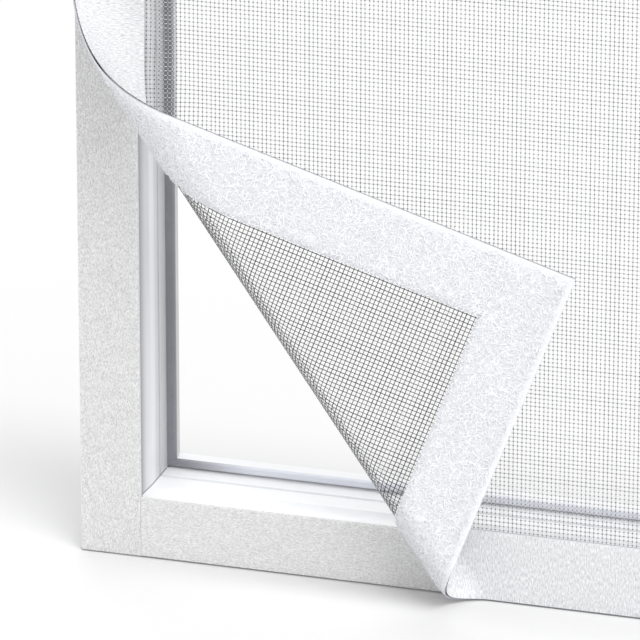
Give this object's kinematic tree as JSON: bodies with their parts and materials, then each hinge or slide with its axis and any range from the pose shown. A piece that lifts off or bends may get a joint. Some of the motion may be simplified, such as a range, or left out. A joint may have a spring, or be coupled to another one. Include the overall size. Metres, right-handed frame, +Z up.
{
  "type": "hook-and-loop insect screen",
  "caption": "Insect mesh with a loop tape border, pressed onto hook tape round a small mitred window frame, with its lower left corner peeled open.",
  "frame": {"origin": "middle of the frame's underside, half way through the frame's depth", "axes": "+X to the right and +Y into the window as seen by someone facing the screen, +Z up"},
  "size_m": [0.32, 0.0654, 0.32],
  "materials": {
    "frame_white": "smooth white coating",
    "cleat_metal": "as extruded",
    "seal_grey": "matt grey",
    "hook_tape": "grainy off-white hooks",
    "loop_pile": "white looped pile",
    "face_tape": "white woven ribs",
    "mesh_yarn": "thin dark grey yarn"
  },
  "bodies": {
    "root": {"corner_cleat_bottom_left": "cleat_metal", "corner_cleat_bottom_right": "cleat_metal", "corner_cleat_top_left": "cleat_metal", "corner_cleat_top_right": "cleat_metal", "face_tape_bottom": "face_tape", "face_tape_left": "face_tape", "face_tape_right": "face_tape", "face_tape_top": "face_tape", "frame_bottom_rail": "frame_white", "frame_left_stile": "frame_white", "frame_right_stile": "frame_white", "frame_top_rail": "frame_white", "hook_tape_bottom": "hook_tape", "hook_tape_left": "hook_tape", "hook_tape_right": "hook_tape", "hook_tape_top": "hook_tape", "insect_mesh": "mesh_yarn", "loop_tape_bottom": "loop_pile", "loop_tape_left": "loop_pile", "loop_tape_right": "loop_pile", "loop_tape_top": "loop_pile", "seal_bottom": "seal_grey", "seal_left": "seal_grey", "seal_right": "seal_grey", "seal_top": "seal_grey"}
  },
  "joints": []
}
